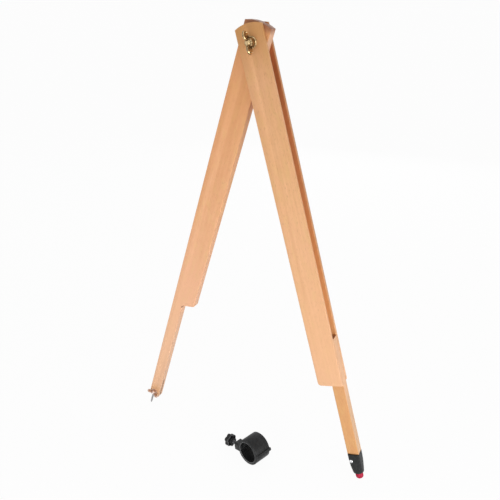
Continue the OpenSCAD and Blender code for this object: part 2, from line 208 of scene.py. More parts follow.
# Beech: its own colours and its growth rings
golden_beech = (0.71, 0.42, 0.165, 1)
pore_brown = (0.36, 0.15, 0.05, 1)
ring_width = 2.2 * mm
ring_sway = 7 * mm
ring_lean = 0.012
ring_across, ring_through = 0.8, 0.6

# The stretch of each pattern's noise over which it shows
streak_span = (0.34, 0.66)
tone_span = (0.4, 0.7)
patch_span = (0.48, 0.72)
pore_span = (0.60, 0.74)
fibre_span = (0.3, 0.7)


def make_beech_grain():
    """Beech along Z: broad streaks, growth rings, fibres, golden patches and short dark pores."""
    group, given, out = new_surface_group("beech grain", ("Pale", "Deep", "Rosy"))
    where = given["Coordinates"]
    figure = stretched_noise(group, where, (8 * mm, 6 * mm, 380 * mm), detail=2.0, distortion=0.4)
    tone = stretched_noise(group, where, (30 * mm, 24 * mm, 150 * mm), detail=1.0)
    fibre = stretched_noise(group, where, (0.9 * mm, 0.9 * mm, 40 * mm), detail=3.0)
    mottle = stretched_noise(group, where, (5 * mm, 5 * mm, 13 * mm), detail=2.0)
    fleck = stretched_noise(group, where, (0.7 * mm, 1.2 * mm, 5 * mm), detail=1.0)
    patch = stretched_noise(group, where, (7 * mm, 7 * mm, 18 * mm), detail=2.0)

    x, y, z = split_xyz(group, where)
    sway = plus(group, times(group, figure, ring_sway), times(group, z, ring_lean))
    level = plus(group, times(group, x, ring_across), times(group, y, ring_through))
    rings = math_node(group, "PINGPONG", plus(group, level, sway), ring_width)
    late_wood = fade(group, rings, 0.0, ring_width)

    streaks = 0.0
    for pattern, share in ((figure, 0.44), (fibre, 0.2), (late_wood, 0.08), (mottle, 0.28)):
        streaks = plus(group, times(group, pattern, share), streaks)
    pores = fade(group, fleck, *pore_span)
    colour = mix_colour(group, fade(group, streaks, *streak_span), given["Pale"], given["Deep"])
    colour = mix_colour(group, fade(group, tone, *tone_span, share=0.6), colour, given["Rosy"])
    colour = mix_colour(group, fade(group, patch, *patch_span, share=0.5), colour, golden_beech)
    colour = mix_colour(group, times(group, pores, 0.36), colour, pore_brown)
    group.links.new(colour, out["Color"])
    group.links.new(spread(group, fibre, *fibre_span, to_low=0.46, to_high=0.60), out["Roughness"])
    fibre_rise, pore_drop = times(group, fibre, 0.4), times(group, pores, 0.3)
    group.links.new(math_node(group, "SUBTRACT", fibre_rise, pore_drop), out["Height"])
    return group


def make_handled_surface():
    """Fine grain, soft blotches and small scuffs of a moulded, plated or pressed surface."""
    group, given, out = new_surface_group("handled surface", ("Clean", "Worn"), ("Smooth", "Rough"))
    blotch_size, grain_size = 4 * mm, 0.35 * mm
    worn_span = (0.42, 0.68)
    where = given["Coordinates"]
    worn = fade(group, even_noise(group, where, blotch_size, detail=3.0), *worn_span)
    group.links.new(mix_colour(group, worn, given["Clean"], given["Worn"]), out["Color"])
    roughening = math_node(group, "SUBTRACT", given["Rough"], given["Smooth"])
    group.links.new(plus(group, given["Smooth"], times(group, worn, roughening)), out["Roughness"])
    group.links.new(even_noise(group, where, grain_size, detail=2.0), out["Height"])
    return group


def make_patina_and_shade():
    """Plate that stays bright where fingers rub it and darkens in its recesses with patina, painted shade and
    painted dark reflections.
    """
    group, given, out = new_surface_group("patina_and_shade", ("Bright", "Dark"), ("Recess",))
    blotch_size, grain_size = 1.6 * mm, 0.3 * mm
    blotch_middle, blotch_strength = 0.5, 1.3
    dull_span = (0.05, 0.75)
    bright_roughness, dull_roughness = 0.22, 0.48
    where = given["Coordinates"]
    blotch = even_noise(group, where, blotch_size, detail=3.0)
    uneven = times(group, math_node(group, "SUBTRACT", blotch, blotch_middle), blotch_strength)
    darkened = fade(group, plus(group, given["Recess"], uneven), *dull_span)
    group.links.new(mix_colour(group, darkened, given["Bright"], given["Dark"]), out["Color"])
    group.links.new(spread(group, darkened, 0.0, 1.0, bright_roughness, dull_roughness), out["Roughness"])
    group.links.new(even_noise(group, where, grain_size, detail=2.0), out["Height"])
    return group


beech_grain = make_beech_grain()
handled_surface = make_handled_surface()
patina_and_shade = make_patina_and_shade()

# Marks on the wood: their colours
end_grain_brown = (0.34, 0.17, 0.085, 1)
# Slot colours: painted light low in the slot, painted shade towards the pivot
slot_painted_light_orange = (0.88, 0.45, 0.17, 1)
slot_painted_shade_brown = (0.68, 0.225, 0.075, 1)
slot_deepest_painted_shade_brown = (0.40, 0.12, 0.04, 1)
head_darkening_brown = (0.54, 0.25, 0.06, 1)
# Painted light: paler beech towards the foot and on lit side faces
painted_light_beech = (0.79, 0.48, 0.30, 1)
shaded_side_brown = (0.42, 0.19, 0.075, 1)
lit_foot_side_beech = (0.64, 0.42, 0.26, 1)
lit_head_side_beech = (0.73, 0.44, 0.29, 1)
crown_shadow_brown = (0.26, 0.085, 0.04, 1)
knot_brown = (0.17, 0.065, 0.025, 1)
saw_cut_shade_brown = (0.07, 0.035, 0.018, 1)
rim_gap_shade_brown = (0.12, 0.05, 0.02, 1)
front_shade_brown = (0.72, 0.32, 0.115, 1)
near_nut_brown = (0.62, 0.32, 0.115, 1)

# Marks on the wood: the heights on a leg, from its pivot, between which they fade in
painted_light_span = (-200 * mm, -480 * mm)
head_darkening_span = (-45 * mm, 12 * mm)
slot_painted_light_span = (-100 * mm, -240 * mm)
slot_painted_shade_span = (-380 * mm, -40 * mm)
slot_deepest_painted_shade_span = (-80 * mm, -35 * mm)
shaded_side_span = (-420 * mm, -300 * mm)
lit_foot_side_span = (-455 * mm, -490 * mm)
lit_head_side_span = (-70 * mm, -10 * mm)
front_shade_span = (-190 * mm, -60 * mm)
crown_shadow_span = (13 * mm, 19 * mm)
holder_rim = holder_length - holder_end
rim_gap_shade_span = (holder_rim + 1.6 * mm, holder_rim + 0.4 * mm)

# Marks on the needle leg: their places on it
knot_middle = (-0.5 * mm, -6.4 * mm, -392.4 * mm)
knot_reach = (2.2 * mm, 9 * mm, 1.4 * mm)
knot_span = (1.0, 0.55)
pinch_middle = (-8.7 * mm, -6.4 * mm, -575 * mm)
near_nut_span = (15 * mm, 7 * mm)
saw_cut_top = -549 * mm
saw_cut_span = (1.0 * mm, 0.85 * mm)

# How far a face turns to a side before it counts as that side
side_span = (0.5, 0.9)
end_grain_span = (0.5, 0.85)


# Materials

def new_material(name):
    """A material, its tree, its shader and its coordinates."""
    material = bpy.data.materials.new(name)
    material.use_nodes = True
    tree = material.node_tree
    return material, tree, tree.nodes["Principled BSDF"], tree.nodes.new("ShaderNodeTexCoord")


def add_group(tree, group, values, coordinates):
    """Places a shader group with its own values."""
    node = tree.nodes.new("ShaderNodeGroup")
    node.node_tree = group
    for socket, value in values.items():
        node.inputs[socket].default_value = value
    tree.links.new(coordinates, node.inputs["Coordinates"])
    return node


def add_bump(tree, shader, height, distance):
    bump = tree.nodes.new("ShaderNodeBump")
    bump.inputs["Distance"].default_value = distance
    tree.links.new(height, bump.inputs["Height"])
    tree.links.new(bump.outputs["Normal"], shader.inputs["Normal"])


def mesh_mark(tree, name, socket="Fac"):
    """What a piece's mesh keeps under this name."""
    mark = tree.nodes.new("ShaderNodeAttribute")
    mark.attribute_name = name
    return mark.outputs[socket]


def along_leg(tree, vector, leg_turn):
    """Turns a vector so that Z runs along a leg that leans by leg_turn."""
    mapping = tree.nodes.new("ShaderNodeMapping")
    mapping.inputs["Rotation"].default_value = (0.0, leg_turn, 0.0)
    tree.links.new(vector, mapping.inputs["Vector"])
    return mapping.outputs["Vector"]


def facing_along_leg(tree, leg_turn):
    """The way a face looks: across its leg, through it and along it."""
    return split_xyz(tree, along_leg(tree, mesh_mark(tree, "facing", "Vector"), leg_turn))


def side_faces(tree, leg_turn):
    """How far a face looks across its leg."""
    across = facing_along_leg(tree, leg_turn)[0]
    return fade(tree, math_node(tree, "ABSOLUTE", across), *side_span)


def lacquered_beech(name, leg_turn, wood, log_place, slot_side=0, head_darkening=0.62, painted_light=0.55):
    """Beech with its grain along a leg that leans by leg_turn, cut from log_place.

    It is darker where the grain ends and towards the head. On the side that faces the slot it
    carries painted light low down and painted shade towards the pivot. It is paler towards the
    foot, which is painted light from below. Returns the parts that more marks are laid over.
    """
    material, tree, shader, coordinates = new_material(name)
    place = along_leg(tree, coordinates.outputs["Object"], leg_turn)
    height = split_xyz(tree, place)[2]
    _, through, along = facing_along_leg(tree, leg_turn)
    grain = add_group(tree, beech_grain, wood, vector_node(tree, "ADD", place, log_place))
    colour = grain.outputs["Color"]
    # Paler towards the foot: painted light from below
    colour = mix_colour(tree, fade(tree, height, *painted_light_span, share=painted_light), colour, painted_light_beech)
    # Darker towards the head on every board
    colour = mix_colour(tree, fade(tree, height, *head_darkening_span, share=head_darkening), colour, head_darkening_brown)
    # Painted light low in the slot and painted shade towards the pivot, on the faces that look into the slot
    if slot_side:
        inside = fade(tree, times(tree, through, slot_side), *side_span)
        for span, share, brown in ((slot_painted_light_span, 0.75, slot_painted_light_orange), (slot_painted_shade_span, 0.9, slot_painted_shade_brown),
                                   (slot_deepest_painted_shade_span, 0.55, slot_deepest_painted_shade_brown)):
            painted_slot_mark = times(tree, inside, fade(tree, height, *span, share=share))
            colour = mix_colour(tree, painted_slot_mark, colour, brown)
    end = fade(tree, math_node(tree, "ABSOLUTE", along), *end_grain_span, share=0.7)
    colour = mix_colour(tree, end, colour, end_grain_brown)
    tree.links.new(colour, shader.inputs["Base Color"])
    tree.links.new(grain.outputs["Roughness"], shader.inputs["Roughness"])
    shader.inputs["Specular IOR Level"].default_value = 0.35
    shader.inputs["Coat Weight"].default_value = 0.06
    shader.inputs["Coat Roughness"].default_value = 0.3
    add_bump(tree, shader, grain.outputs["Height"], 0.05 * mm)
    return material, tree, shader, place, colour


def front_cheek_beech(wood, log_place):
    """The front cheek's beech."""
    return lacquered_beech("front cheek beech", half_opening, wood, log_place, slot_side=1)[0]


def rear_cheek_beech(wood, log_place):
    """The rear cheek's beech, with darker sides below the head."""
    material, tree, shader, place, colour = lacquered_beech(
        "rear cheek beech", half_opening, wood, log_place, slot_side=-1)
    upper = fade(tree, split_xyz(tree, place)[2], *shaded_side_span, share=0.7)
    colour = mix_colour(tree, times(tree, side_faces(tree, half_opening), upper), colour, shaded_side_brown)
    tree.links.new(colour, shader.inputs["Base Color"])
    return material


def chalk_foot_beech(wood, log_place):
    """The beech of the core and its chalk foot, with painted light on its sides and painted shade just above the
    holder's rim.
    """
    material, tree, shader, place, colour = lacquered_beech(
        "chalk foot beech", half_opening, wood, log_place, painted_light=0.0)
    height = split_xyz(tree, place)[2]
    # Painted light on the side faces: paler beech above the foot, a paler foot colour at the foot
    lit_side_colour = mix_colour(tree, fade(tree, height, *lit_foot_side_span), painted_light_beech, lit_foot_side_beech)
    colour = mix_colour(tree, times(tree, side_faces(tree, half_opening), 0.75), colour, lit_side_colour)
    # Painted shade on the wood just above the holder's rim, where the gap to the holder lies in shadow
    colour = mix_colour(tree, fade(tree, height, *rim_gap_shade_span, share=0.85), colour, rim_gap_shade_brown)
    tree.links.new(colour, shader.inputs["Base Color"])
    return material


def needle_leg_beech(wood, log_place):
    """The needle leg's beech, with a painted shadow on its crown, painted shade on its front and painted light
    on its sides below the head, a small knot, a darker patch round the pinch nut and a saw cut painted as shade.
    """
    leg_turn = -half_opening
    material, tree, shader, place, colour = lacquered_beech(
        "needle leg beech", leg_turn, wood, log_place, head_darkening=0.1, painted_light=0.8)
    _, depth, height = split_xyz(tree, place)
    front = fade(tree, times(tree, facing_along_leg(tree, leg_turn)[1], -1.0), *side_span)
    # Painted shade on the front faces below the head
    front_shade = times(tree, front, fade(tree, height, *front_shade_span, share=0.5))
    colour = mix_colour(tree, front_shade, colour, front_shade_brown)
    # Painted light on the side faces near the head
    lit_head_side = times(tree, side_faces(tree, leg_turn), fade(tree, height, *lit_head_side_span, share=0.7))
    colour = mix_colour(tree, lit_head_side, colour, lit_head_side_beech)
    # Painted shadow of the front cheek on the crown above it
    colour = mix_colour(tree, fade(tree, height, *crown_shadow_span, share=0.75), colour, crown_shadow_brown)
    reach = vector_node(tree, "DIVIDE", vector_node(tree, "SUBTRACT", place, knot_middle), knot_reach)
    from_knot = vector_node(tree, "LENGTH", reach, (0, 0, 0))
    colour = mix_colour(tree, fade(tree, from_knot, *knot_span, share=0.95), colour, knot_brown)
    # Darker round the pinch nut
    from_nut = vector_node(tree, "DISTANCE", place, pinch_middle)
    colour = mix_colour(tree, fade(tree, from_nut, *near_nut_span, share=0.4), colour, near_nut_brown)
    # A saw cut painted as a thin line of shade along the middle of the foot
    near_cut = fade(tree, math_node(tree, "ABSOLUTE", depth), *saw_cut_span)
    cut = times(tree, near_cut, math_node(tree, "LESS_THAN", height, saw_cut_top))
    colour = mix_colour(tree, cut, colour, saw_cut_shade_brown)
    tree.links.new(colour, shader.inputs["Base Color"])
    return material


def handled(name, clean, worn, smooth, rough, bump, metallic=0.0, shine=0.5, painted_edge_highlight=None, hollow=None):
    """A moulded, plated or pressed finish, with a painted highlight on rounded edges and painted shade in hollows.
    """
    material, tree, shader, coordinates = new_material(name)
    values = {"Clean": clean, "Worn": worn, "Smooth": smooth, "Rough": rough}
    surface = add_group(tree, handled_surface, values, coordinates.outputs["Object"])
    colour = surface.outputs["Color"]
    for mark, marked_colour in (("recess", hollow), ("painted_highlight_edge", painted_edge_highlight)):
        if marked_colour:
            colour = mix_colour(tree, mesh_mark(tree, mark), colour, marked_colour)
    tree.links.new(colour, shader.inputs["Base Color"])
    tree.links.new(surface.outputs["Roughness"], shader.inputs["Roughness"])
    shader.inputs["Metallic"].default_value = metallic
    shader.inputs["Specular IOR Level"].default_value = shine
    add_bump(tree, shader, surface.outputs["Height"], bump)
    return material


def plain_metal(name, clean, worn, smooth, rough):
    """A plain steel or plated finish."""
    return handled(name, clean, worn, smooth, rough, bump=0.01 * mm, metallic=1.0)


def patina_and_shade_plate(name, bright, dark):
    """A plated finish that is darker in the recesses marked on the mesh: patina, painted shade and painted dark
    reflections.
    """
    material, tree, shader, coordinates = new_material(name)
    surface = add_group(tree, patina_and_shade, {"Bright": bright, "Dark": dark}, coordinates.outputs["Object"])
    tree.links.new(mesh_mark(tree, "recess"), surface.inputs["Recess"])
    tree.links.new(surface.outputs["Color"], shader.inputs["Base Color"])
    tree.links.new(surface.outputs["Roughness"], shader.inputs["Roughness"])
    shader.inputs["Metallic"].default_value = 1.0
    add_bump(tree, shader, surface.outputs["Height"], 0.02 * mm)
    return material


front_beech = front_cheek_beech(
    {"Pale": (0.79, 0.43, 0.21, 1), "Deep": (0.69, 0.352, 0.155, 1), "Rosy": (0.765, 0.395, 0.21, 1)},
    log_place=(0.0, 0.0, 0.0))
rear_beech = rear_cheek_beech(
    {"Pale": (0.80, 0.435, 0.205, 1), "Deep": (0.71, 0.355, 0.15, 1), "Rosy": (0.79, 0.40, 0.205, 1)},
    log_place=(0.09, 0.05, 0.3))
core_beech = chalk_foot_beech(
    {"Pale": (0.69, 0.355, 0.145, 1), "Deep": (0.63, 0.305, 0.118, 1), "Rosy": (0.69, 0.335, 0.145, 1)},
    log_place=(0.21, 0.02, 0.7))
needle_beech = needle_leg_beech(
    {"Pale": (0.785, 0.413, 0.21, 1), "Deep": (0.70, 0.332, 0.15, 1), "Rosy": (0.794, 0.38, 0.22, 1)},
    log_place=(0.33, 0.07, 0.1))
# Recess darkening on both plates: patina, painted shade and painted dark reflections
antique_brass = patina_and_shade_plate("antique brass", bright=(0.76, 0.56, 0.30, 1), dark=(0.10, 0.052, 0.02, 1))
# Its brown dark is a painted reflection of the wood, laid in its recesses
nickel_with_painted_reflection = patina_and_shade_plate("nickel plate with painted reflection", bright=(0.76, 0.66, 0.62, 1), dark=(0.44, 0.25, 0.155, 1))
zinc = plain_metal("zinc plate", clean=(0.70, 0.70, 0.71, 1), worn=(0.52, 0.52, 0.54, 1),
                   smooth=0.24, rough=0.42)
needle_steel = plain_metal("needle steel", clean=(0.37, 0.36, 0.36, 1), worn=(0.26, 0.25, 0.25, 1),
                           smooth=0.22, rough=0.38)
clamp_steel = plain_metal("dulled clamp steel", clean=(0.20, 0.20, 0.21, 1), worn=(0.12, 0.12, 0.125, 1),
                          smooth=0.3, rough=0.5)
# Painted highlight on its rounded edges, painted shade on the clamp's bore wall
black_plastic = handled("black plastic", clean=(0.023, 0.0235, 0.024, 1), worn=(0.032, 0.0325, 0.033, 1),
                        smooth=0.34, rough=0.48, bump=0.03 * mm, shine=0.1,
                        painted_edge_highlight=(0.16, 0.16, 0.162, 1), hollow=(0.013, 0.013, 0.0135, 1))
red_chalk = handled("red chalk", clean=(0.40, 0.020, 0.050, 1), worn=(0.52, 0.045, 0.085, 1),
                    smooth=0.85, rough=0.97, bump=0.12 * mm, shine=0.1)

# Shares of a thread's pitch
thread_depth = 0.55
ridge_foot = 0.42
ridge_crest = 0.06


# Ways to shape a piece

def only_verts(geometry):
    return [item for item in geometry if isinstance(item, bmesh.types.BMVert)]


def turn_profile(bm, profile, closed=False, steps=64):
    """Spins a profile of radius and height about Z."""
    verts = [bm.verts.new((radius, 0.0, height)) for radius, height in profile]
    edges = [bm.edges.new(pair) for pair in zip(verts, verts[1:])]
    if closed:
        edges.append(bm.edges.new((verts[-1], verts[0])))
    bmesh.ops.spin(bm, geom=verts + edges, cent=(0, 0, 0), axis=(0, 0, 1), angle=math.tau, steps=steps,
                   use_merge=True)


def cut_thread(bm, outer, pitch, start, end, steps=28):
    """A rod with a screw thread along Z from start to end."""
    root = outer - thread_depth * pitch
    bevel = 0.5 * pitch
    turn_profile(bm, [(0, start), (root, start), (root, end - bevel), (root - bevel, end), (0, end)])
    sunk = root - 0.1 * pitch
    middle = start + 0.45 * pitch
    ridge = [(sunk, middle - ridge_foot * pitch), (outer, middle - ridge_crest * pitch),
             (outer, middle + ridge_crest * pitch), (sunk, middle + ridge_foot * pitch)]
    verts = [bm.verts.new((radius, 0.0, height)) for radius, height in ridge]
    edges = [bm.edges.new(pair) for pair in zip(verts, verts[1:] + verts[:1])]
    turns = (end - start - pitch) / pitch
    total = max(1, round(turns * steps))
    last = bmesh.ops.spin(bm, geom=verts + edges, cent=(0, 0, 0), axis=(0, 0, 1),
                          angle=math.tau * total / steps, steps=total, dvec=(0, 0, pitch / steps),
                          use_merge=False)
    bm.faces.new(verts)
    bm.faces.new(only_verts(last["geom_last"]))


def finish_piece(name, bm, material, body, node, place=Matrix.Identity(4), smooth_angle=35, recess=None):
    """Makes a bmesh the piece that stands for a CAD node, with its recesses marked."""
    weld = 0.002 * mm
    bmesh.ops.remove_doubles(bm, verts=bm.verts, dist=weld)
    bmesh.ops.dissolve_degenerate(bm, edges=bm.edges, dist=weld)
    bmesh.ops.recalc_face_normals(bm, faces=bm.faces)
    if recess:
        layer = bm.verts.layers.float.new("recess")
        for vert in bm.verts:
            vert[layer] = recess(vert.co)
    bmesh.ops.transform(bm, matrix=place, verts=bm.verts)
    mesh = bpy.data.meshes.new(name)
    bm.to_mesh(mesh)
    bm.free()
    mesh.materials.append(material)
    mesh.shade_smooth()
    mesh.set_sharp_from_angle(angle=math.radians(smooth_angle))
    piece = bpy.data.objects.new(name, mesh)
    scene.collection.objects.link(piece)
    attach(piece, body)
    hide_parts(node)
    return piece


def merged_copy(node):
    """A CAD node's mesh, with its triangles merged into whole faces."""
    flat_angle = math.radians(0.5)
    bm = bmesh.new()
    bm.from_mesh(nodes[node].data)
    bmesh.ops.remove_doubles(bm, verts=bm.verts, dist=0.001 * mm)
    bmesh.ops.dissolve_limit(bm, angle_limit=flat_angle, verts=bm.verts, edges=bm.edges)
    return bm


def round_edges(bm, edges, radius, segments=2, highlight_strength=1.0):
    """Rounds the edges and marks the new faces for a painted highlight."""
    layers = bm.faces.layers.float
    painted_edge_highlight = layers.get("painted_highlight_edge") or layers.new("painted_highlight_edge")
    rounded = bmesh.ops.bevel(bm, geom=edges, offset=radius, offset_type="OFFSET", segments=segments,
                              profile=0.5, affect="EDGES", material=-1, clamp_overlap=True)
    for face in rounded["faces"]:
        face[painted_edge_highlight] = highlight_strength


def round_sharp_edges(bm, radius):
    """Rounds each edge at which two faces meet at a sharp angle."""
    sharp_angle = math.radians(40)
    sharp = [edge for edge in bm.edges if len(edge.link_faces) == 2 and edge.calc_face_angle(0) > sharp_angle]
    round_edges(bm, sharp, radius)


def soften_node(name, node, material, body, radius, recess=None):
    """A copy of a CAD node with its sharp edges rounded."""
    bm = merged_copy(node)
    round_sharp_edges(bm, radius)
    return finish_piece(name, bm, material, body, node, recess=recess)


# Boards

def sand_board(node, material, body, radius):
    """A board with sanded edges, which keeps on its mesh the way each face looks."""
    board = soften_node(node + "_sanded", node, material, body, radius).data
    facing = board.attributes.new("facing", "FLOAT_VECTOR", "CORNER")
    for mark, corner in zip(facing.data, board.corner_normals):
        mark.vector = corner.vector


sand_board("front_cheek", front_beech, "chalk_side", radius=0.5 * mm)
sand_board("rear_cheek", rear_beech, "chalk_side", radius=0.5 * mm)
sand_board("chalk_leg_core", core_beech, "chalk_side", radius=0.4 * mm)
sand_board("needle_leg", needle_beech, "needle_side", radius=0.4 * mm)


# Wing nuts, washers and bolts

def add_wing(bm, side, hub_r, hub_h, span, height, ear_r, thick):
    """One rounded wing of a wing nut, as the hull of its ear and its root, with sunk panels."""
    soft = 0.3 * thick
    root_levels, root_reaches = (0.10, 0.92), (0.55, 0.3)
    panel_margin, panel_slope, panel_depth = 0.16 * ear_r, 0.08 * ear_r, 0.22 * thick
    flat = 0.9999
    points = []
    for across, radius in ((-0.5, ear_r - soft), (-0.2, ear_r), (0.2, ear_r), (0.5, ear_r - soft)):
        middle = Vector((side * (span / 2 - ear_r), across * thick, height - ear_r))
        ring = bmesh.ops.create_circle(bm, segments=28, radius=radius,
                                       matrix=Matrix.Translation(middle) @ face_front)
        points += ring["verts"]
    for across in (-0.5, 0.5):
        for level in root_levels:
            for reach in root_reaches:
                points.append(bm.verts.new((side * reach * hub_r, across * thick, level * hub_h)))
    hull = bmesh.ops.convex_hull(bm, input=points)
    spare = only_verts(hull["geom_interior"] + hull["geom_unused"])
    bmesh.ops.delete(bm, geom=list(set(spare)), context="VERTS")
    bm.normal_update()
    ear_faces = [face for face in bm.faces
                 if abs(face.normal.y) > flat and side * face.calc_center_median().x > 0]
    bmesh.ops.inset_region(bm, faces=ear_faces, thickness=panel_margin, depth=0.0)
    bmesh.ops.inset_region(bm, faces=ear_faces, thickness=panel_slope, depth=-panel_depth)


def make_wing_nut(name, node, body, material, base, bolt_d, hub_d, span, height, turn):
    """A cast wing nut, turned about its bolt, on its washer."""
    hub_r, hub_h, bore = hub_d / 2, 1.15 * bolt_d, bolt_d / 2 + thread_play
    ear_r, thick = 0.37 * height, 0.4 * bolt_d
    top_r, waist = 0.8 * hub_r, 0.25 * hub_h
    soft = 0.08 * hub_h
    panel_patina_and_shade = 0.6
    bm = bmesh.new()
    turn_profile(bm, [
        (bore, 0), (hub_r - soft, 0), (hub_r, soft), (hub_r, waist), (top_r + soft, hub_h - soft),
        (top_r - soft, hub_h), (bore, hub_h)], closed=True)
    for side in (-1, 1):
        add_wing(bm, side, hub_r, hub_h, span, height, ear_r, thick)

    def recess(point):
        """Dark near the hub's foot and in the ears' sunk panels: patina and painted shade."""
        to_ear = math.hypot(abs(point.x) - (span / 2 - ear_r), point.z - (height - ear_r))
        if to_ear < 1.5 * ear_r and abs(point.y) < 0.4 * thick:
            return panel_patina_and_shade
        near_hub = max(0.0, 1.1 - 1.3 * math.hypot(point.x, point.y) / (0.5 * span))
        near_foot = max(0.0, 1.0 - 0.6 * point.z / height)
        return near_hub * near_foot

    place = Matrix.Translation(base) @ face_front @ Matrix.Rotation(turn, 4, "Z")
    finish_piece(name, bm, material, body, node, place, recess=recess)


def washer_front(node):
    """The middle of a washer's front face."""
    middle = box_middle(node)
    return Vector((middle.x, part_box(node)[0].y, middle.z))


def washer_recess(point):
    """A washer is evenly dull."""
    return washer_dirt


def make_bolt(name, node, body, material, bolt_d, head_d, head_h, pitch):
    """A domed bolt along Y, from its head at the back to its threaded end at the front."""
    low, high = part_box(node)
    middle = (low + high) / 2
    seat = high.y - head_h
    length = seat - low.y
    thread_start = 0.45 * length
    head_dirt = 0.15
    dome_r = (head_d ** 2 / 4 + head_h ** 2) / (2 * head_h)
    dome_angle = math.asin(head_d / 2 / dome_r)
    steps = 10
    angles = [dome_angle * i / steps for i in range(steps + 1)]
    dome = [(dome_r * math.sin(angle), dome_r - head_h - dome_r * math.cos(angle)) for angle in angles]
    bm = bmesh.new()
    turn_profile(bm, dome + [(bolt_d / 2, 0), (bolt_d / 2, thread_start), (0, thread_start)])
    cut_thread(bm, bolt_d / 2, pitch, thread_start, length)

    def recess(point):
        """Dark in the thread's groove, with patina and painted shade, and fair on the head and the end."""
        groove = (bolt_d / 2 - math.hypot(point.x, point.y)) / (thread_depth * pitch)
        return max(0.0, min(1.0, groove)) if thread_start < point.z < length - pitch else head_dirt

    place = Matrix.Translation((middle.x, seat, middle.z)) @ face_front
    finish_piece(name, bm, material, body, node, place, recess=recess)


washer_dirt = 0.35
pivot_nut_turn = math.radians(110)
pinch_nut_turn = math.radians(168) - half_opening
make_wing_nut("pivot_wing_nut_cast", "pivot_wing_nut", "pivot_nut_body", antique_brass,
              washer_front("pivot_washer"), pivot_bolt_d, pivot_hub_d, pivot_nut_span, pivot_nut_height,
              pivot_nut_turn)
make_wing_nut("pinch_wing_nut_cast", "pinch_wing_nut", "pinch_nut_body", nickel_with_painted_reflection,
              washer_front("pinch_washer"), pinch_bolt_d, pinch_hub_d, pinch_nut_span, pinch_nut_height,
              pinch_nut_turn)
soften_node("pivot_washer_pressed", "pivot_washer", antique_brass, "pivot_washer_body", radius=0.25 * mm,
            recess=washer_recess)
soften_node("pinch_washer_pressed", "pinch_washer", nickel_with_painted_reflection, "pinch_washer_body", radius=0.18 * mm,
            recess=washer_recess)
make_bolt("pivot_carriage_bolt", "pivot_bolt", "chalk_side", antique_brass, pivot_bolt_d, pivot_head_d,
          pivot_head_h, pivot_pitch)
make_bolt("pinch_bolt_threaded", "pinch_bolt", "needle_side", nickel_with_painted_reflection, pinch_bolt_d, pinch_head_d,
          pinch_head_h, pinch_pitch)


# Needle, chalk and chalk holder

def make_needle():
    """A round steel needle with a ground point, from its tip upwards along its leg."""
    radius = needle_d / 2
    tip_r, tip_h = 0.2 * mm, 0.06 * mm
    bevel = 0.3 * mm
    bm = bmesh.new()
    turn_profile(bm, [
        (0, 0), (tip_r, tip_h), (0.7 * radius, 0.5 * needle_point), (0.96 * radius, 0.93 * needle_point),
        (radius, 1.06 * needle_point), (radius, needle_length - bevel), (radius - bevel, needle_length),
        (0, needle_length)], steps=40)
    place = Matrix.Translation(mounts["needle_point"]["pos_m"]) @ on_needle_leg
    finish_piece("needle_ground", bm, needle_steel, "needle_body", "needle", place)


def make_chalk_holder():
    """A moulded holder: square at its rim, round at its nose, with a socket above and a bore below."""
    rim = Vector((foot_mid, 0.0, holder_rim))
    half_w, half_d = foot_width / 2, holder_depth / 2
    bore_r = chalk_d / 2 + thread_play
    socket_w, socket_d = 6.35 * mm, core_thick / 2 + 0.1 * mm
    soft = 0.5 * mm
    nose_soft = 0.7 * mm
    # Drop below the rim, half width, half depth, and squareness, which is 2 for a round ring
    stations = [
        (4 * mm, socket_w, socket_d, 12),
        (0.3 * mm, socket_w, socket_d, 12),
        (0.0, half_w - soft, half_d - soft, 7),
        (soft, half_w, half_d, 7),
        (8 * mm, half_w, half_d, 6.5),
        (14 * mm, half_w - 0.05 * mm, half_d, 5.5),
        (20 * mm, half_w - 0.15 * mm, half_d - 0.1 * mm, 4.2),
        (26 * mm, half_w - 0.35 * mm, half_d - 0.35 * mm, 3.0),
        (31 * mm, nose_r + 0.12 * mm, nose_r + 0.12 * mm, 2.3),
        (32.8 * mm, nose_r, nose_r, 2.05),
        (holder_length, nose_r - nose_soft, nose_r - nose_soft, 2.0),
        (holder_length, bore_r, bore_r, 2.0),
        (26 * mm, bore_r, bore_r, 2.0),
    ]
    bm = bmesh.new()
    loops = []
    for drop, wide, deep, square in stations:
        ring = bmesh.ops.create_circle(bm, segments=64, radius=1.0)["verts"]
        for vert in ring:
            x, y = vert.co.x, vert.co.y
            size = (abs(x) ** square + abs(y) ** square) ** (-1 / square)
            vert.co = rim + Vector((wide * size * x, deep * size * y, -drop))
        loops.append(list({edge for vert in ring for edge in vert.link_edges}))
    for first, second in zip(loops, loops[1:]):
        bmesh.ops.bridge_loops(bm, edges=first + second)
    for end in (loops[0], loops[-1]):
        bmesh.ops.contextual_create(bm, geom=end)
    finish_piece("chalk_holder_moulded", bm, black_plastic, "chalk_side", "chalk_holder", on_chalk_leg,
                 smooth_angle=40)


def make_chalk():
    """A chalk stick with a worn and slightly uneven end."""
    radius = chalk_d / 2
    wear_start = 2 * chalk_worn - chalk_tip
    flat_r = radius - chalk_worn
    steps = 6
    corner = [math.pi / 2 * i / steps for i in range(steps + 1)]
    profile = [(0, -chalk_top), (radius, -chalk_top), (radius, wear_start)]
    profile += [(flat_r + chalk_worn * math.cos(angle), chalk_worn - chalk_tip - chalk_worn * math.sin(angle))
                for angle in corner]
    profile += [(0.5 * flat_r, -chalk_tip), (0, -chalk_tip)]
    bm = bmesh.new()
    turn_profile(bm, profile)
    unevenness, bumps_per_metre = 0.22 * mm, 700
    for vert in bm.verts:
        if vert.co.z < wear_start:
            vert.co.z += unevenness * (noise.noise(vert.co * bumps_per_metre) + 0.9)
    place = on_chalk_leg @ Matrix.Translation((foot_mid, 0, 0))
    finish_piece("chalk_worn", bm, red_chalk, "chalk_body", "chalk", place, smooth_angle=50)


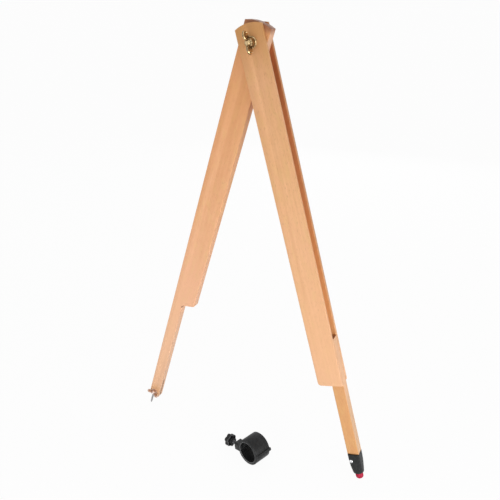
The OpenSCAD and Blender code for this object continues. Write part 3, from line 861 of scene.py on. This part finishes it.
def make_holder_screw():
    """A pan head screw with a recess, at the front of the chalk holder."""
    head_r, head_h = 2.7 * mm, 1.6 * mm
    shank_r, shank_end, shank_point = 1.5 * mm, -7 * mm, -8 * mm
    recess_r = 0.9 * mm
    steps = 8
    angles = [math.pi / 2 * i / steps for i in range(steps)]
    dome = [(head_r * math.cos(angle) ** 0.6, head_h * math.sin(angle)) for angle in angles]
    bm = bmesh.new()
    shank = [(0, shank_point), (shank_r, shank_end), (shank_r, 0)]
    turn_profile(bm, shank + dome + [(recess_r, head_h), (0, 0.4 * head_h)], steps=48)
    seat = on_chalk_leg.inverted() @ box_middle("holder_screw")
    place = on_chalk_leg @ Matrix.Translation((seat.x, -holder_depth / 2, seat.z)) @ face_front
    finish_piece("holder_screw_pan_head", bm, zinc, "chalk_side", "holder_screw", place)


make_needle()
make_chalk_holder()
make_chalk()
make_holder_screw()

# Loose marker clamp: its place, with Z out along the screw to the knob
clamp_in = Vector(joints["clamp_pad_slide"]["axis"])
clamp_along = -Vector(mounts["marker_clamp_bore"]["axis"])
clamp_middle = Vector(mounts["marker_clamp_bore"]["pos_m"])
clamp_axis_point = Vector(joints["clamp_knob_turn"]["pos_m"])
clamp_side = clamp_in.cross(clamp_along)
screw_foot = clamp_middle + clamp_along * (clamp_axis_point - clamp_middle).dot(clamp_along)
clamp_turn = Matrix((clamp_side, clamp_along, -clamp_in)).transposed().to_4x4()
on_clamp_screw = Matrix.Translation(screw_foot) @ clamp_turn

# Loose marker clamp: its sizes, with heights from the bore's axis
pad_back = 18.45 * mm
pad_play = 0.3 * mm
nipple_r = 1.67 * mm
nipple_length = 1.68 * mm
knob_start = 38.5 * mm
knob_neck = 3 * mm
knob_thick = 7.5 * mm
knob_r = 9.5 * mm
knob_valley_r = 7.9 * mm
knob_hub_r = 5.0 * mm
knob_lobes = 6


def make_clamp_screw():
    """The clamp's threaded screw, with the nipple that holds its pad."""
    shank_start = pad_back + pad_play
    nipple_end = shank_start - nipple_length
    in_knob = 6 * mm
    bm = bmesh.new()
    turn_profile(bm, [(0, nipple_end), (nipple_r, nipple_end), (nipple_r, shank_start), (0, shank_start)])
    cut_thread(bm, clamp_screw_d / 2, clamp_pitch, shank_start, knob_start + in_knob)
    finish_piece("clamp_screw_threaded", bm, clamp_steel, "knob_body", "clamp_screw", on_clamp_screw)


def make_star_knob():
    """A star knob with a hollow inner face, a hub and rounded lobes."""
    star_start = knob_start + knob_neck
    lobe_fullness = 0.75
    rim_r = 0.9 * mm
    bm = bmesh.new()
    ring = bmesh.ops.create_circle(bm, segments=120, radius=1.0, cap_ends=True)["verts"]
    for vert in ring:
        angle = math.atan2(vert.co.y, vert.co.x)
        lobe = (0.5 + 0.5 * math.cos(knob_lobes * angle)) ** lobe_fullness
        vert.co *= knob_valley_r + (knob_r - knob_valley_r) * lobe
        vert.co.z = star_start
    top = bmesh.ops.extrude_face_region(bm, geom=bm.faces[:])
    bmesh.ops.translate(bm, vec=(0, 0, knob_thick), verts=only_verts(top["geom"]))
    bmesh.ops.recalc_face_normals(bm, faces=bm.faces)
    rim = [edge for face in bm.faces if abs(face.normal.z) > 0.9 for edge in face.edges]
    round_edges(bm, rim, rim_r, segments=3, highlight_strength=0.6)
    inner = [face for face in bm.faces if face.normal.z < -0.99]
    wall, draft, hollow = 1.2 * mm, 0.25 * mm, 3.2 * mm
    bmesh.ops.inset_region(bm, faces=inner, thickness=wall, depth=0.0)
    bmesh.ops.inset_region(bm, faces=inner, thickness=draft, depth=-hollow)
    screw_r, hub_end = clamp_screw_d / 2 + thread_play, star_start + 4 * mm
    soft = 0.5 * mm
    turn_profile(bm, [(screw_r, knob_start), (knob_hub_r - soft, knob_start), (knob_hub_r, knob_start + soft),
                      (knob_hub_r, hub_end), (screw_r, hub_end)], closed=True)
    finish_piece("clamp_star_knob", bm, black_plastic, "knob_body", "clamp_knob", on_clamp_screw)


def make_clamp_ring():
    """The clamp's ring, with the rims of its bore rounded first and its other edges after them."""
    bore = mounts["marker_clamp_bore"]["dims"]
    bore_r, half_depth = bore["r_mm"] * mm, bore["length_mm"] / 2 * mm
    close = 0.05 * mm

    def place_in_bore(point):
        """The point's distance along the bore from its middle, and from its axis."""
        reach = point - clamp_middle
        depth = reach.dot(clamp_along)
        return depth, (reach - depth * clamp_along).length

    def on_wall(point):
        """Whether the point lies on the wall of the bore."""
        return place_in_bore(point)[1] < bore_r + close

    def on_rim(edge, end):
        """Whether the edge runs round the bore at this end, -1 or 1."""
        places = [place_in_bore(vert.co) for vert in edge.verts]
        return all(abs(out - bore_r) < close and abs(depth - end * half_depth) < close
                   for depth, out in places)

    bm = merged_copy("clamp_ring")
    rims = [edge for edge in bm.edges if on_rim(edge, -1) or on_rim(edge, 1)]
    round_edges(bm, rims, 0.7 * mm)
    round_sharp_edges(bm, 0.6 * mm)
    # Marks the bore wall, where the black plastic paints shade
    finish_piece("clamp_ring_moulded", bm, black_plastic, "marker_clamp", "clamp_ring", recess=on_wall)


make_clamp_screw()
make_star_knob()
make_clamp_ring()
soften_node("clamp_insert_turned", "clamp_insert", clamp_steel, "marker_clamp", radius=0.2 * mm)
soften_node("clamp_pad_moulded", "clamp_pad", black_plastic, "pad_body", radius=0.3 * mm)

# Stage
floor_size = 60.0
floor_gap = 0.1 * mm
floor_glow = 0.95
studio_level = 0.54
backdrop_level = 0.975
camera_place = (0.30055, -0.626695, 0.046148)
camera_degrees = (66.0504, -0.8748, 26.2045)
camera_lens = 40.864
camera_sensor = 36


def seen_rays(tree):
    """Camera, glossy and transmission rays, which see a plain white studio."""
    rays = tree.nodes.new("ShaderNodeLightPath")
    seen = math_node(tree, "MAXIMUM", rays.outputs["Is Camera Ray"], rays.outputs["Is Glossy Ray"])
    return math_node(tree, "MAXIMUM", seen, rays.outputs["Is Transmission Ray"])


def white_floor():
    """A pale matt floor that glows for the rays that see it, so that a faint shadow stays."""
    material, tree, shader, _ = new_material("white floor")
    shader.inputs["Base Color"].default_value = (0.9, 0.9, 0.9, 1)
    shader.inputs["Roughness"].default_value = 0.9
    glow = tree.nodes.new("ShaderNodeEmission")
    blend = tree.nodes.new("ShaderNodeMixShader")
    tree.links.new(times(tree, seen_rays(tree), floor_glow), blend.inputs[0])
    tree.links.new(shader.outputs[0], blend.inputs[1])
    tree.links.new(glow.outputs[0], blend.inputs[2])
    tree.links.new(blend.outputs[0], tree.nodes["Material Output"].inputs["Surface"])
    return material


def lay_floor():
    """One wide face just below the object."""
    mesh = bpy.data.meshes.new("floor")
    bm = bmesh.new()
    bmesh.ops.create_grid(bm, x_segments=1, y_segments=1, size=floor_size,
                          matrix=Matrix.Translation((0, 0, floor_level - floor_gap)))
    bm.to_mesh(mesh)
    bm.free()
    mesh.materials.append(white_floor())
    floor = bpy.data.objects.new("floor", mesh)
    scene.collection.objects.link(floor)


def light_studio():
    """A white world that lights the object softly and is seen at the floor's own white."""
    world = bpy.data.worlds.new("studio")
    world.use_nodes = True
    scene.world = world
    tree = world.node_tree
    background = tree.nodes["Background"]
    level = spread(tree, seen_rays(tree), 0.0, 1.0, to_low=studio_level, to_high=backdrop_level)
    tree.links.new(level, background.inputs["Strength"])
    background.inputs["Color"].default_value = (1, 1, 1, 1)


def add_area_light(name, place, target, size, power, beam=180):
    """A soft rectangular lamp that looks at a target, with its beam in degrees."""
    lamp = bpy.data.lights.new(name, "AREA")
    lamp.shape = "RECTANGLE"
    lamp.size, lamp.size_y = size
    lamp.energy = power
    lamp.spread = math.radians(beam)
    light = bpy.data.objects.new(name, lamp)
    light.location = place
    light.rotation_euler = (Vector(target) - Vector(place)).to_track_quat("-Z", "Y").to_euler()
    scene.collection.objects.link(light)


def set_camera():
    """The camera that the photograph's leg edges give."""
    lens = bpy.data.cameras.new("camera")
    lens.sensor_width = camera_sensor
    lens.lens = camera_lens
    lens.clip_start = 0.01
    camera = bpy.data.objects.new("camera", lens)
    camera.location = camera_place
    camera.rotation_euler = [math.radians(angle) for angle in camera_degrees]
    scene.collection.objects.link(camera)
    scene.camera = camera


lay_floor()
light_studio()
add_area_light("low key from the left", place=(-0.1, -0.75, -0.47), target=(0, 0, -0.42),
               size=(0.5, 0.2), power=2.05)
add_area_light("foot light", place=(0.75, -0.65, -0.47), target=(0.15, 0, -0.43),
               size=(0.4, 0.2), power=0.12, beam=50)
add_area_light("head light", place=(0.05, -0.9, 0.05), target=(0, 0, 0),
               size=(0.3, 0.2), power=0.034, beam=40)
add_area_light("side light", place=(1.2, -0.3, -0.34), target=(0.05, 0, -0.36),
               size=(0.5, 0.4), power=5.6)
add_area_light("back fill", place=(-0.3, 1.7, 0.2), target=(0, 0, -0.28),
               size=(1.2, 1.2), power=5.0)
set_camera()
scene.view_settings.view_transform = "Standard"
